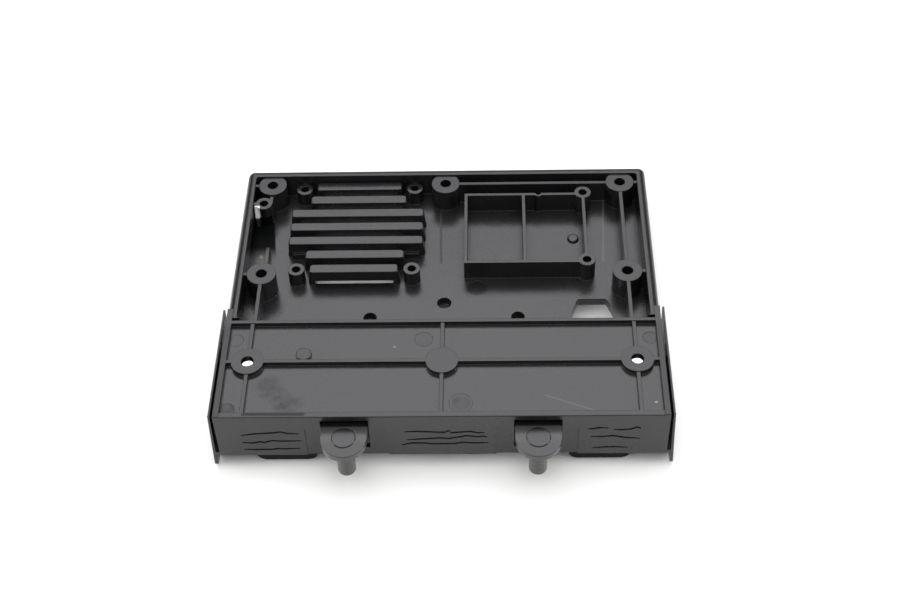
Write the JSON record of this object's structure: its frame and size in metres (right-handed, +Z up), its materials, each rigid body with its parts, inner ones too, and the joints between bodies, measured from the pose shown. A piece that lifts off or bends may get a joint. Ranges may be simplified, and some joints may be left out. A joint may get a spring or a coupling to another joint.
{
  "type": "injection moulded plastic housing",
  "caption": "Shallow moulded housing half with a raised fan grille, screw bosses, ribs, a boxed compartment, a ribbed front bay and locating pegs on tabs.",
  "frame": {"origin": "under the middle of the moulding's bounding box, level with the tips of its two side fins", "axes": "+X across the front, +Y from the front wall to the rear wall, +Z up out of the open side"},
  "size_m": [0.1192, 0.1008, 0.021],
  "materials": {
    "abs_shell": "satin black ABS with a fine moulded texture, bare and unprinted"
  },
  "bodies": {
    "root": {"housing_shell": "abs_shell"}
  },
  "joints": []
}
